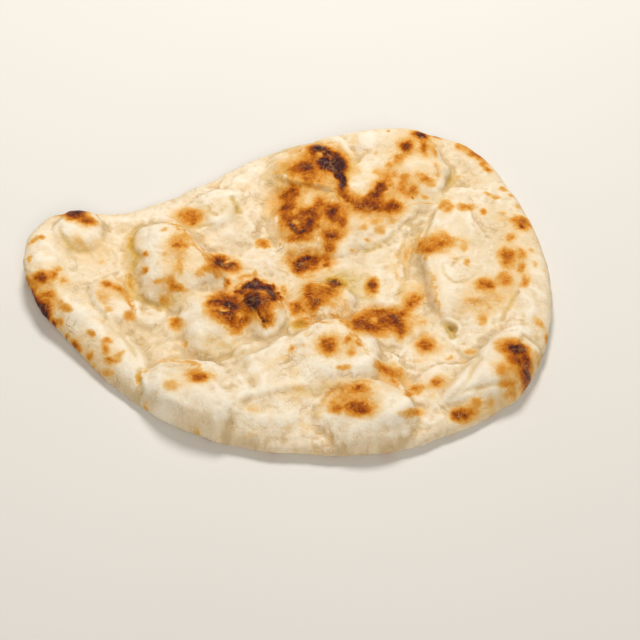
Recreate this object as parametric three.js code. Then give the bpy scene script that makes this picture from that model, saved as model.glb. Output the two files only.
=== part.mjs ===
// Naan bread: one leaf of tandoor-baked flatbread lying on a table.
// Millimetres, +Z up. The origin ends up under the middle of the bread, at table height.
import * as THREE from 'three';

// Driving dimensions
const DOUGH_THICKNESS = 6.5; // flat dough between the blisters
const RIM_SWELL = 2.2; // how much thicker the dough is just inside its edge
const RIM_SWELL_INSET = 12; // distance of the thickest ring from the edge
const RIM_SWELL_WIDTH = 9;
const EDGE_ROUNDING = 4.5; // plan width of the rounded edge
const EDGE_STEPS = 3; // rings that round the edge, above and below
const TOP_RINGS = 32; // rings across the top; each has six corners more than the one inside it
const CORNERS_PER_RING = 6;
const RIM_CORNERS = CORNERS_PER_RING * TOP_RINGS;
const UNDERSIDE_CORNERS = [1, 6, 12, 36, 72, 72, 72, RIM_CORNERS]; // ring by ring from the middle
const BLISTER_SHARP = 0.9; // exponent of a blister's steep side
const BLISTER_SOFT = 1.35; // exponent of its gentle side
const BLISTER_FULLNESS = 1.3; // above 1, blisters are flatter on top and fall off nearer their edge
const BLISTER_MERGING = 3; // how much the higher of two overlapping blisters leads
const SWELL_START = 14; // distance from the edge at which swells reach their full height

// Where the underside leaves the table, and how far it curls up at the outline.
const CURLS = [
  { along: [-1, 0], from: 80, over: 63, rise: 10 }, // narrow lobe, on the left
  { along: [0, 1], from: 40, over: 62, rise: 10 }, // long back edge
  { along: [1, 0], from: 100, over: 41, rise: 4 }, // wide lobe, on the right
  { along: [0, -1], from: 88, over: 26, rise: 1.5 }, // front edge
];

// Outline of the stretched dough, clockwise from the tip of the narrow lobe.
const OUTLINE = [
  [-143, 8], [-141, 24], [-131, 39], [-113, 43], [-94, 46], [-69, 56], [-40, 72], [-12, 87],
  [22, 97], [52, 102], [82, 99], [107, 87], [124, 62], [136, 27], [141, -10], [135, -48],
  [120, -77], [92, -96], [58, -111], [18, -114], [-24, -109], [-62, -93], [-92, -69],
  [-116, -43], [-135, -20],
];

// Blisters: middle, half length and half width, turn of the length from +X, height,
// and the direction in which the blister falls off steeply. Angles are in degrees.
const BLISTERS = [
  { name: 'narrow lobe', at: [-115, 28], half: [15, 14], turn: 95, rise: 6.5, steep: 80 },
  { name: 'back half', at: [36, 60], half: [58, 38], turn: 38, rise: 7, steep: -40 },
  { name: 'right half', at: [112, 6], half: [60, 40], turn: 90, rise: 6, steep: 180 },
  { name: 'long ridge', at: [-64, 4], half: [36, 24], turn: -54, rise: 12, steep: 40 },
  { name: 'left shoulder', at: [-94, -24], half: [20, 11], turn: -62, rise: 5.5, steep: 25 },
  { name: 'left twin', at: [-40, -33], half: [19, 19], turn: 0, rise: 10, steep: 80 },
  { name: 'right twin', at: [-14, -29], half: [19, 16], turn: 100, rise: 10.5, steep: 50 },
  { name: 'front dome', at: [24, -61], half: [27, 28], turn: -10, rise: 13.5, steep: 60 },
  { name: 'left of the dome', at: [-8, -76], half: [44, 31], turn: 25, rise: 7, steep: 95 },
  { name: 'front edge', at: [40, -95], half: [26, 21], turn: 0, rise: 10, steep: 80 },
  { name: 'front left', at: [-51, -86], half: [30, 26], turn: 100, rise: 12.5, steep: 60 },
  { name: 'charred crest', at: [13, 66], half: [28, 22], turn: -15, rise: 10, steep: 60 },
  { name: 'below the crest', at: [8, 35], half: [25, 20], turn: 90, rise: 8.5, steep: 90 },
  { name: 'right of the crest', at: [45, 52], half: [20, 18], turn: 30, rise: 8, steep: 60 },
  { name: 'back right', at: [72, 68], half: [26, 18], turn: 90, rise: 9, steep: 10 },
  { name: 'folded edge', at: [112, -66], half: [24, 18], turn: 60, rise: 7, steep: 60 },
  { name: 'middle', at: [18, -20], half: [19, 16], turn: -20, rise: 7.5, steep: 60 },
  { name: 'lower right', at: [84, -74], half: [24, 14], turn: 20, rise: 4.5, steep: 90 },
  { name: 'back left', at: [-40, 38], half: [28, 20], turn: 30, rise: 4.5, steep: 90 },
  { name: 'under the dome', at: [52, -38], half: [24, 12], turn: 10, rise: 4, steep: 60 },
];

// Broad swells and hollows under the blisters: middle, half sizes, turn, and height.
const SWELLS = [
  { name: 'front slope', at: [-4, -88], half: [46, 20], turn: 4, rise: 3.5 },
  { name: 'left rim', at: [-118, -16], half: [20, 52], turn: 28, rise: 3.5 },
  { name: 'middle hollow', at: [0, 6], half: [42, 20], turn: 10, rise: -2 },
  { name: 'hollow beside the right half', at: [62, -2], half: [13, 36], turn: 5, rise: -2.5 },
  { name: 'hollow left of the long ridge', at: [-86, 6], half: [8, 30], turn: 0, rise: -2 },
  { name: 'hollow behind the front left', at: [-40, -58], half: [34, 8], turn: -8, rise: -2 },
  { name: 'notch in the back edge', at: [96, 78], half: [9, 22], turn: 10, rise: -2 },
];

const radians = THREE.MathUtils.degToRad;
const outline = new THREE.CatmullRomCurve3(
  OUTLINE.map(([x, y]) => new THREE.Vector3(x, y, 0)),
  true,
  'centripetal',
);

// Height of the underside over the table: nought over a wide middle patch.
function underside(x, y) {
  let height = 0;
  for (const { along, from, over, rise } of CURLS) {
    const past = Math.max(0, (x * along[0] + y * along[1] - from) / over);
    height += rise * past * past;
  }
  return height;
}

// Squared distance from the middle of a turned ellipse: 1 on the ellipse.
function ellipse({ at, half, turn }, x, y) {
  const dx = x - at[0];
  const dy = y - at[1];
  const cos = Math.cos(radians(turn));
  const sin = Math.sin(radians(turn));
  return ((dx * cos + dy * sin) / half[0]) ** 2 + ((dy * cos - dx * sin) / half[1]) ** 2;
}

// Height that one blister adds: a dome whose fall-off is steep on one side.
function blisterHeight(blister, x, y) {
  const inside = 1 - ellipse(blister, x, y) ** BLISTER_FULLNESS;
  if (inside <= 0) return 0;
  const direction = Math.atan2(y - blister.at[1], x - blister.at[0]);
  const facing = (1 + Math.cos(direction - radians(blister.steep))) / 2;
  return blister.rise * inside ** THREE.MathUtils.lerp(BLISTER_SOFT, BLISTER_SHARP, facing);
}

// Height of all blisters together, on the swells and hollows under them.
function reliefHeight(x, y, inset) {
  const powers = BLISTERS.map((blister) => blisterHeight(blister, x, y) ** BLISTER_MERGING);
  const blisters = powers.reduce((sum, power) => sum + power, 0) ** (1 / BLISTER_MERGING);
  const swells = SWELLS.map((swell) => swell.rise * Math.exp(-1.2 * ellipse(swell, x, y)));
  const swell = swells.reduce((sum, height) => sum + height, 0);
  return blisters + swell * THREE.MathUtils.smoothstep(inset, 0, SWELL_START);
}

function doughThickness(inset) {
  const fromSwell = (inset - RIM_SWELL_INSET) / RIM_SWELL_WIDTH;
  return DOUGH_THICKNESS + RIM_SWELL * Math.exp(-fromSwell * fromSwell);
}

// A point of the top or the underside. Its place is a fraction of the way round the outline
// and an inset in millimetres from the outline, towards the middle.
function surfacePoint(around, inset, isTop) {
  const edge = outline.getPointAt(around % 1);
  const spoke = edge.length();
  const [x, y] = [edge.x * (1 - inset / spoke), edge.y * (1 - inset / spoke)];
  const bottom = underside(x, y);
  const thickness = doughThickness(inset);
  const toEdge = Math.min(1, inset / EDGE_ROUNDING);
  const rounding = Math.sqrt(1 - (1 - toEdge) ** 2);
  const middle = bottom + doughThickness(0) / 2;
  const face = isTop ? bottom + thickness + reliefHeight(x, y, inset) : bottom;
  return [x, y, THREE.MathUtils.lerp(middle, face, rounding)];
}

// The rings of one face, from the middle out to the last ring before the outline.
function faceRings(cornerCounts, isTop) {
  const rings = cornerCounts.map((corners, index) => {
    const fraction = index / cornerCounts.length;
    return Array.from({ length: corners }, (_, corner) => {
      const around = corner / corners;
      const reach = outline.getPointAt(around).length() - EDGE_ROUNDING;
      return surfacePoint(around, EDGE_ROUNDING + reach * (1 - fraction), isTop);
    });
  });
  for (let step = 0; step < EDGE_STEPS; step++) {
    const inset = EDGE_ROUNDING * (1 - Math.sin((step / EDGE_STEPS) * (Math.PI / 2)));
    rings.push(edgeRing(inset, isTop));
  }
  return rings;
}

function edgeRing(inset, isTop) {
  const ring = new Array(RIM_CORNERS).fill(0);
  return ring.map((_, corner) => surfacePoint(corner / RIM_CORNERS, inset, isTop));
}

// Triangles between two rings of any two corner counts, wound to face up.
function joinRings(inner, outer) {
  const triangles = [];
  let [i, o] = [0, 0];
  while (i < inner.length || o < outer.length) {
    const innerNow = inner[i % inner.length];
    const outerNow = outer[o % outer.length];
    const outerIsNext = (o + 0.5) / outer.length <= (i + 0.5) / inner.length;
    if (o < outer.length && (outerIsNext || i === inner.length)) {
      triangles.push([innerNow, outer[(o + 1) % outer.length], outerNow]);
      o += 1;
    } else {
      triangles.push([innerNow, inner[(i + 1) % inner.length], outerNow]);
      i += 1;
    }
  }
  return triangles;
}

// One closed skin: the top's rings, the outline ring, and the underside's rings.
function breadGeometry() {
  const positions = [];
  const index = [];
  const addRing = (ring) => ring.map((point) => positions.push(...point) / 3 - 1);
  const topCounts = [1];
  for (let ring = 1; ring < TOP_RINGS; ring++) topCounts.push(CORNERS_PER_RING * ring);
  const rim = addRing(edgeRing(0, true));
  for (const isTop of [true, false]) {
    const counts = isTop ? topCounts : UNDERSIDE_CORNERS;
    const rings = [...faceRings(counts, isTop).map(addRing), rim];
    for (let ring = 1; ring < rings.length; ring++) {
      for (const [a, b, c] of joinRings(rings[ring - 1], rings[ring])) {
        if (a === b || b === c || a === c) continue;
        index.push(...(isTop ? [a, b, c] : [a, c, b]));
      }
    }
  }
  const geometry = new THREE.BufferGeometry();
  geometry.setAttribute('position', new THREE.Float32BufferAttribute(positions, 3));
  geometry.setIndex(index);
  geometry.computeBoundingBox();
  const { min, max } = geometry.boundingBox;
  geometry.translate(-(min.x + max.x) / 2, -(min.y + max.y) / 2, -min.z);
  geometry.computeVertexNormals();
  return geometry;
}

const crust = new THREE.MeshStandardMaterial({ color: 0xecd6ac, roughness: 0.62, metalness: 0 });
const naan = new THREE.Mesh(breadGeometry(), crust);
naan.name = 'naan';

const bread = new THREE.Group();
bread.add(naan);

export default bread;
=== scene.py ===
"""The looks of a naan bread: one leaf of tandoor-baked flatbread, lying on a pale floor.

The bread is worked out in millimetres on a plan grid, then turned into one fine mesh in metres that stands
for the CAD solid. Its shape is the dough's thickness, its curled edges, its blisters, and the folds and
creases between them. How much each place has browned is worked out on the same grid and drives the material.
"""
import math

import bpy
import numpy as np
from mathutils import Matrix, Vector


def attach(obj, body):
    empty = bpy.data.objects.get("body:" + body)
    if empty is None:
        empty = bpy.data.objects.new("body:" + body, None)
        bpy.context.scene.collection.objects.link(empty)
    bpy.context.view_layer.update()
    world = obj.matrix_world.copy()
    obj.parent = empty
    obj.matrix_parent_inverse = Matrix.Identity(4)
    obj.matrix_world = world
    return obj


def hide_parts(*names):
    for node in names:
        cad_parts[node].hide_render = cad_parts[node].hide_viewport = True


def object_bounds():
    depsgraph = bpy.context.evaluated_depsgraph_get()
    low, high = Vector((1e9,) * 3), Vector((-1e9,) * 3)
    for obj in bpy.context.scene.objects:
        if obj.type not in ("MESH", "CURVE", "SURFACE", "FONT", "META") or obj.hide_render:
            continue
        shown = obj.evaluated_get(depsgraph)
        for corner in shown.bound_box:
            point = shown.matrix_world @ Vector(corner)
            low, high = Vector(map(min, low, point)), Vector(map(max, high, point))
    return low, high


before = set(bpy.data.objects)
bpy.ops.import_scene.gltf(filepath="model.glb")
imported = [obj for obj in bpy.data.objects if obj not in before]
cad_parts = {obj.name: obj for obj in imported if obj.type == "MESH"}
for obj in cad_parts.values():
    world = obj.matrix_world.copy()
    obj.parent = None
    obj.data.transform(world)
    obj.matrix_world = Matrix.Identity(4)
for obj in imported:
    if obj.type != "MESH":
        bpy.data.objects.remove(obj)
CAD_LOW, CAD_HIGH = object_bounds()
MM = 0.001

# ---------------------------------------------------------------- driving dimensions, in millimetres
DOUGH_THICKNESS = 6.5
RIM_SWELL, RIM_SWELL_INSET, RIM_SWELL_WIDTH = 2.2, 12.0, 9.0
EDGE_ROUNDING = 4.5
EDGE_RINGS = 5            # rings that round the edge, above and below
TOP_RINGS = 155           # rings across the top; each has six corners more than the one inside it
UNDER_RINGS = 70          # the same across the underside
CORNERS_PER_RING = 6
GRID_STEP = 0.5
GRID_HALF_LENGTH, GRID_HALF_WIDTH = 152.0, 122.0
BLISTER_SHARP, BLISTER_SOFT = 0.5, 1.35
SIGHT_ELEVATION = 52.0    # the bread's marks are placed as they show from the front, this far above the table
SIGHT_PLANE = 8.0         # the height at which those places are true
SIGHT_TARGET = (16.8, -24.8)  # the place of the bread that the camera looks at
CAMERA_DISTANCE = 936.0
LENS = 98.4
LUMP_RISE, LUMP_RIDGE_RISE = 1.1, 0.55    # broad unevenness of the dough
TEAR_DEPTH, TEAR_LIP_RISE = 3.4, 1.9      # the torn blister
CRUMPLE_RISE, WRINKLE_RISE = 0.42, 0.26   # crumpled skin in the low places
TOP_MAP_SCALE, UNDER_MAP_SCALE = 3.15, 1.38   # how large the two faces lie in the flat map, per metre
MAP_MARGIN = 0.006
MAP_DEPTH = 0.2182        # metres that the bread's plan width takes up in the flat map

OUTLINE = [
    (-143, 8), (-141, 24), (-131, 39), (-113, 43), (-94, 46), (-69, 56), (-40, 72),
    (-12, 87), (22, 97), (52, 102), (82, 99), (107, 87), (124, 62), (136, 27),
    (141, -10), (135, -48), (120, -77), (92, -96), (58, -111), (18, -114), (-24, -109),
    (-62, -93), (-92, -69), (-116, -43), (-135, -20),
]
# direction, distance at which the underside leaves the table, distance over which it rises, rise
CURLS = [
    ((-1, 0), 80, 63, 10),
    ((0, 1), 40, 62, 10),
    ((1, 0), 100, 41, 4),
    ((0, -1), 88, 26, 1.5),
]
# middle, half length and half width, turn of the length from +X, height, direction of the steep side
BLISTERS = [
    ((-115, 28), (15, 14), 95, 6.5, 80),
    ((36, 60), (58, 38), 38, 7.0, -40),
    ((112, 6), (60, 40), 90, 6.0, 180),
    ((-64, 4), (36, 24), -54, 12.0, 40),
    ((-94, -24), (20, 11), -62, 5.5, 25),
    ((-40, -33), (19, 19), 0, 10, 80),
    ((-14, -29), (18, 15), 100, 12.0, 50),
    ((24, -61), (27, 28), -10, 13.5, 60),
    ((-8, -76), (44, 31), 25, 7.0, 95),
    ((40, -95), (26, 21), 0, 10.0, 80),
    ((-51, -86), (30, 26), 100, 12.5, 60),
    ((13, 66), (28, 22), -15, 10, 60),
    ((8, 35), (25, 20), 90, 8.5, 90),
    ((45, 52), (20, 18), 30, 8.0, 60),
    ((72, 68), (26, 18), 90, 9.0, 10),
    ((112, -66), (24, 18), 60, 7.0, 60),
    ((18, -20), (19, 16), -20, 7.5, 60),
    ((84, -74), (24, 14), 20, 4.5, 90),
    ((-40, 38), (28, 20), 30, 4.5, 90),
    ((52, -38), (24, 12), 10, 4.0, 60),
]
SMALL_BLISTERS = [
    ((4, -33), (10, 7), 100, 4.5, 50),
    ((-60, -38), (8, 6), 0, 2.5, 60),
    ((-74, -30), (9, 7), 20, 2.5, 60),
    ((64, -82), (9, 6), 0, 3, 90),
    ((90, -2), (9, 9), 0, 1.5, 90),
    ((52, 2), (12, 18), 10, 2.5, 20),
    ((47, 74), (11, 11), 0, 3, 20),
    ((-36, 46), (9, 9), 0, 2, 90),
    ((124, -36), (12, 7), 70, 2, 60),
    ((52, -64), (9, 12), 20, 3, 30),
    ((-12, 12), (14, 10), 0, 2, 90),
    ((84, 22), (10, 12), 0, 2, 180),
    ((28, 84), (8, 12), 0, 2, 40),
    ((88, 48), (12, 9), 0, 1.5, 90),
    ((110, 40), (14, 14), 0, 1.5, 90),
    ((-133, -4), (10, 14), 0, 1.5, 150),
    ((-20, 62), (16, 12), 30, 2, 120),
]
# Broad swells under the blisters, and the hollow in the middle: middle, half sizes, turn, height.
SWELLS = [
    ((-4, -88), (46, 20), 4, 3.5),
    ((-118, -16), (20, 52), 28, 3.5),
    ((0, 6), (42, 20), 10, -2.0),
    ((62, -2), (13, 36), 5, -2.5),
    ((-86, 6), (8, 30), 0, -2.0),
    ((-40, -58), (34, 8), -8, -2.0),
    ((96, 78), (9, 22), 10, -2.0),
]
# Folds: points along the edge as they show from the front, the raised body on the left of the line's
# direction, how far the body reaches, how far the drop reaches, and the height of the edge.
FOLDS = [
    ([(-33, -9), (-37, -1), (-44, 8), (-50, 18), (-56, 28), (-64, 36), (-76, 42)], 20, 1.6, 4),
    ([(-80, -33), (-81, -23), (-85, -15), (-92, -8), (-101, -1)], 9, 2.2, 3.6),
    ([(-73, -84), (-75, -72), (-76, -61), (-82, -50), (-92, -37), (-100, -23), (-106, -4)], 17, 3.4, 4.2),
    ([(66, -96), (60, -82), (54, -69), (46, -60), (42, -50)], 15, 2.4, 4),
    ([(8, -33), (1, -39), (-4, -47), (-13, -54), (-26, -61)], 15, 2.2, 2.6),
    ([(129, -47), (123, -39), (116, -41), (110, -46), (103, -55), (95, -65), (86, -77),
      (77, -89)], 15, 3.6, 4.8),
    ([(116, 56), (98, 59), (87, 54), (79, 38), (73, 25), (72, 16), (75, 3), (77, -10), (79, -24),
      (82, -31), (88, -38)], 24, 3.4, 4.2),
    ([(38, 14), (47, 19), (56, 25), (68, 34), (80, 47), (90, 62), (94, 74)], 18, 3.2, 2.2),
    ([(-8, 73), (3, 66), (11, 65), (18, 62), (25, 60)], 8, 1.4, 1.3),
    ([(-56, -46), (-46, -52), (-35, -55), (-25, -51), (-15, -46)], 10, 4, 3),
    ([(-34, -90), (-22, -81), (-8, -76), (6, -74), (20, -74)], 11, 2.2, 1.8),
    ([(-34, -74), (-18, -67), (-4, -58), (8, -50)], 10, 2.2, 1.2),
    ([(-34, -98), (-26, -88), (-22, -74), (-30, -66)], 8, 2.4, 1.6),
    ([(-48, 34), (-38, 38), (-30, 50), (-29, 62)], 14, 3, 3.1),
    ([(40, -14), (54, -20), (64, -12), (70, -2)], 10, 4, 2.2),
    ([(62, -6), (60, 6), (62, 18), (66, 28)], 8, 1.8, 1.8),
    ([(84, -44), (92, -52), (98, -60)], 8, 2, 1.4),
]
# Narrow raised lines where the skin folded: points as they show from the front, width, rise.
RIDGES = [
    ([(72.1, 20.3), (73.4, 13.2), (75.2, 3.3), (77.4, -10.6), (79.6, -23), (83.5, -29.7)], 1.6, 0.7),
    ([(-77, 42), (-70, 41), (-64, 37), (-57, 29), (-50, 19), (-44, 8), (-40, 1), (-35, -3)], 1.5, 0.5),
    ([(-92, 16), (-92, 5), (-88, -3)], 2.2, 1.8),
    ([(-90, -2), (-86, -6), (-82, -11), (-80, -18), (-79, -24)], 1.6, 1.2),
    ([(-8, 75), (-3, 69), (4, 66), (12, 65), (19, 63), (26, 60)], 1.5, 1.4),
    ([(12, 100), (22, 101), (30, 97), (33, 90), (36, 83)], 2.2, 1),
    ([(-8, -13), (-3, -18), (-1, -24), (-2, -31), (-4, -37)], 1.8, 1),
    ([(1, -20), (6, -21), (10, -26), (14, -30)], 1.3, 1),
    ([(20, -1), (25, -4), (29, -9), (33, -15)], 1.4, 0.8),
    ([(99, -51), (104, -46), (111, -42), (119, -40), (125, -41), (128, -46)], 1.8, 1.2),
    ([(-64, -58), (-55, -58), (-46, -61), (-40, -66), (-35, -74), (-30, -84)], 1.8, 0.9),
    ([(46, -58), (52, -64), (57, -73), (61, -81), (63, -86)], 1.6, 0.9),
    ([(14, -87), (18, -82), (23, -75), (30, -72)], 1.5, 0.8),
    ([(-48, -50), (-40, -55), (-32, -58), (-24, -57), (-18, -52)], 2, 0.8),
]
# Narrow valleys: points as they show from the front, width, depth, and how much fat has pooled in them, which
# also stands for painted shade in the valley.
CREASES = [
    ([(82.5, 8.9), (83.7, -0.2), (89.5, -5.1), (96, -3.7), (101.7, 1.9)], 0.7, 0.8, 0.3),
    ([(87.2, 4.7), (90.2, 9.6), (95.7, 12.5), (99.3, 8.2)], 0.7, 0.7, 0.3),
    ([(86.1, 53.3), (81.3, 46.6), (76.6, 38.5), (71.2, 28.3), (67.1, 18.9), (64.1, 8.9)], 0.9, 1.3, 0.2),
    ([(-82, 37), (-86, 28), (-86, 18), (-81, 13), (-84, 6), (-85, 0)], 1.8, 1.7, 0.55),
    ([(-86, -1), (-87, -7), (-82, -16), (-73, -20), (-66, -26)], 1.6, 2, 0.5),
    ([(-124, 37), (-125, 31), (-122, 26), (-119, 20), (-114, 16), (-107, 18)], 1.4, 0.8, 0.5),
    ([(-22, -17), (-17, -25), (-12, -32), (-10, -36)], 0.7, 1.6, 0.5),
    ([(-75, -61), (-77, -66), (-76, -71), (-74, -76), (-75, -80)], 1.2, 1.6, 0.45),
    ([(-52, -48), (-44, -53), (-35, -56), (-26, -53), (-17, -49)], 1.8, 0.9, 0.3),
    ([(-101, -20), (-96, -28), (-90, -35), (-85, -43), (-80, -51), (-76, -59)], 1.5, 0.9, 0.2),
    ([(-62, 34), (-52, 34), (-40, 36)], 1, 0.8, 0.4),
    ([(-33, 57), (-30, 51), (-28, 43)], 1.4, 1.3, 0.7),
    ([(-46, 50), (-44, 45), (-39, 42)], 1.2, 0.9, 0.5),
    ([(46, 92), (39, 85), (35, 78), (32, 70), (29, 62)], 1.4, 1, 0.4),
    ([(58, 31), (55, 26), (48, 20), (40, 15)], 1.3, 0.9, 0.5),
    ([(64, 27), (62, 19), (60, 11), (60, 4)], 1, 1.1, 0.25),
    ([(80, 45), (77, 36), (74, 28), (72, 20)], 1, 1.2, 0.2),
    ([(64, 36), (70, 35), (76, 38)], 1, 0.6, 0.3),
    ([(92, 82), (90, 69), (86, 60), (80, 49)], 2.2, 1.6, 0.3),
    ([(70, 8), (74, 0), (77, -9), (78, -17), (79, -26), (82, -36)], 2.6, 0.7, 0.1),
    ([(123, -11), (120, -15), (117, -22), (114, -27), (113, -33)], 0.8, 1.7, 0.45),
    ([(124, -25), (123, -32), (124, -38)], 1.2, 0.6, 0.2),
    ([(101, -54), (95, -62), (92, -70), (86, -78), (80, -85)], 1.4, 0.9, 0.3),
    ([(2, -38), (5, -35), (9, -32)], 1.8, 1.2, 0.4),
    ([(33, 104), (35, 93), (37, 80)], 4, 2.4, 0.1),
    ([(68, 22), (65, 9), (62, -7), (57, -20)], 1.6, 0.9, 0.2),
    ([(88, -40), (85, -44)], 1.2, 0.9, 0.5),
    ([(110, -71), (100, -74), (92, -76), (86, -80)], 1.4, 0.9, 0.3),
]
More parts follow.
